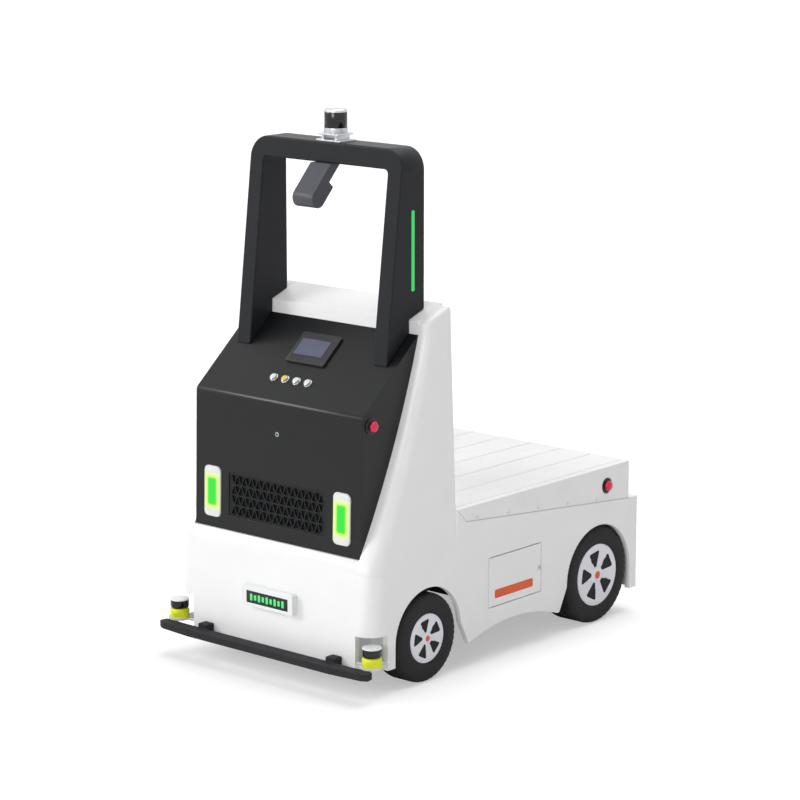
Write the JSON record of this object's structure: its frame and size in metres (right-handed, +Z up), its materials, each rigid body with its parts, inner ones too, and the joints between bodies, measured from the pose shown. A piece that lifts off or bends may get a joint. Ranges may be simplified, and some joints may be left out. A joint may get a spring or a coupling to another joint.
{
  "type": "driverless airport tow tractor",
  "caption": "Driverless tow tractor with a sensor hoop over a black front console, steered front wheels, side hatches, a flat load deck and a rear tow jaw.",
  "frame": {"origin": "middle of the bounding box on the ground", "axes": "-Y is the front, +X the vehicle's left side, +Z up"},
  "size_m": [1.3918, 2.318, 2.716],
  "materials": {
    "chassis_steel": "matt black paint",
    "axle_iron": "cast",
    "battery_case": "satin",
    "body_white": "satin white",
    "deck_white": "satin white",
    "console_black": "fine satin black",
    "grille_black": "satin black",
    "lamp_white": "gloss",
    "lamp_green": "lit lens",
    "bezel_black": "matt",
    "display": "dark display glass",
    "button_metal": "brushed",
    "stop_red": "gloss",
    "hoop_black": "satin black",
    "strip_green": "lit strip",
    "bracket_metal": "anodised",
    "sensor_black": "dark window",
    "pocket_grey": "satin grey",
    "scanner_yellow": "satin",
    "bumper_black": "matt",
    "coupling_iron": "cast",
    "rod_steel": "turned",
    "tyre": "rubber",
    "wheel_white": "gloss white"
  },
  "bodies": {
    "chassis": {"frame_rails": "chassis_steel", "cross_members": "chassis_steel", "front_axle_beam": "chassis_steel", "rear_axle": "axle_iron", "battery_block": "battery_case", "nose_panel": "body_white", "side_panels": "body_white", "rear_panel": "body_white", "tower_wings": "body_white", "tower_cover": "body_white", "console_shell": "console_black", "grille_panel": "grille_black", "headlamp_housings": "lamp_white", "headlamp_lenses": "lamp_green", "screen_bezel": "bezel_black", "display_glass": "display", "push_buttons": "button_metal", "stop_collars": "bezel_black", "stop_buttons": "stop_red", "hoop": "hoop_black", "light_strips": "strip_green", "lidar_bracket": "bracket_metal", "lidar_housing": "bracket_metal", "lidar_window": "sensor_black", "camera_pod": "hoop_black", "sign_box": "lamp_white", "scanner_pockets": "pocket_grey", "scanner_bases": "scanner_yellow", "scanner_hoods": "sensor_black", "front_bumper": "bumper_black", "deck_cover": "deck_white", "tow_coupling": "coupling_iron"},
    "knuckle_l": {"knuckle_left": "axle_iron"},
    "knuckle_r": {"knuckle_right": "axle_iron"},
    "steering_rod": {"tie_rod": "rod_steel"},
    "front_left_wheel": {"tyre_front_left": "tyre", "wheel_front_left": "wheel_white"},
    "front_right_wheel": {"tyre_front_right": "tyre", "wheel_front_right": "wheel_white"},
    "rear_left_wheel": {"tyre_rear_left": "tyre", "wheel_rear_left": "wheel_white"},
    "rear_right_wheel": {"tyre_rear_right": "tyre", "wheel_rear_right": "wheel_white"},
    "hatch_l": {"hatch_left": "body_white"},
    "hatch_r": {"hatch_right": "body_white"}
  },
  "joints": [
    {"name": "steer_left", "type": "hinge", "parent": "chassis", "child": "knuckle_l", "pos_m": [0.43, -0.631, 0.22], "axis": [0, 0, 1], "range_deg": [-30, 30]},
    {"name": "steer_right", "type": "hinge", "parent": "chassis", "child": "knuckle_r", "pos_m": [-0.43, -0.631, 0.22], "axis": [0, 0, 1], "range_deg": [-30, 30]},
    {"name": "tie_rod_pivot", "type": "hinge", "parent": "knuckle_l", "child": "steering_rod", "pos_m": [0.427, -0.491, 0.135], "axis": [0, 0, 1], "range_deg": [-30, 30]},
    {"name": "front_left_spin", "type": "hinge", "parent": "knuckle_l", "child": "front_left_wheel", "pos_m": [0.554, -0.631, 0.22], "axis": [1, 0, 0], "continuous": true},
    {"name": "front_right_spin", "type": "hinge", "parent": "knuckle_r", "child": "front_right_wheel", "pos_m": [-0.554, -0.631, 0.22], "axis": [1, 0, 0], "continuous": true},
    {"name": "rear_left_spin", "type": "hinge", "parent": "chassis", "child": "rear_left_wheel", "pos_m": [0.539, 0.714, 0.255], "axis": [1, 0, 0], "continuous": true},
    {"name": "rear_right_spin", "type": "hinge", "parent": "chassis", "child": "rear_right_wheel", "pos_m": [-0.539, 0.714, 0.255], "axis": [1, 0, 0], "continuous": true},
    {"name": "hatch_left_hinge", "type": "hinge", "parent": "chassis", "child": "hatch_l", "pos_m": [0.639, -0.169, 0.4], "axis": [0, 0, -1], "range_deg": [0, 100]},
    {"name": "hatch_right_hinge", "type": "hinge", "parent": "chassis", "child": "hatch_r", "pos_m": [-0.639, -0.169, 0.4], "axis": [0, 0, 1], "range_deg": [0, 100]}
  ],
  "couplings": [
    {"joint": "steer_right", "follows": "steer_left", "ratio": 1},
    {"joint": "tie_rod_pivot", "follows": "steer_left", "ratio": -1}
  ]
}
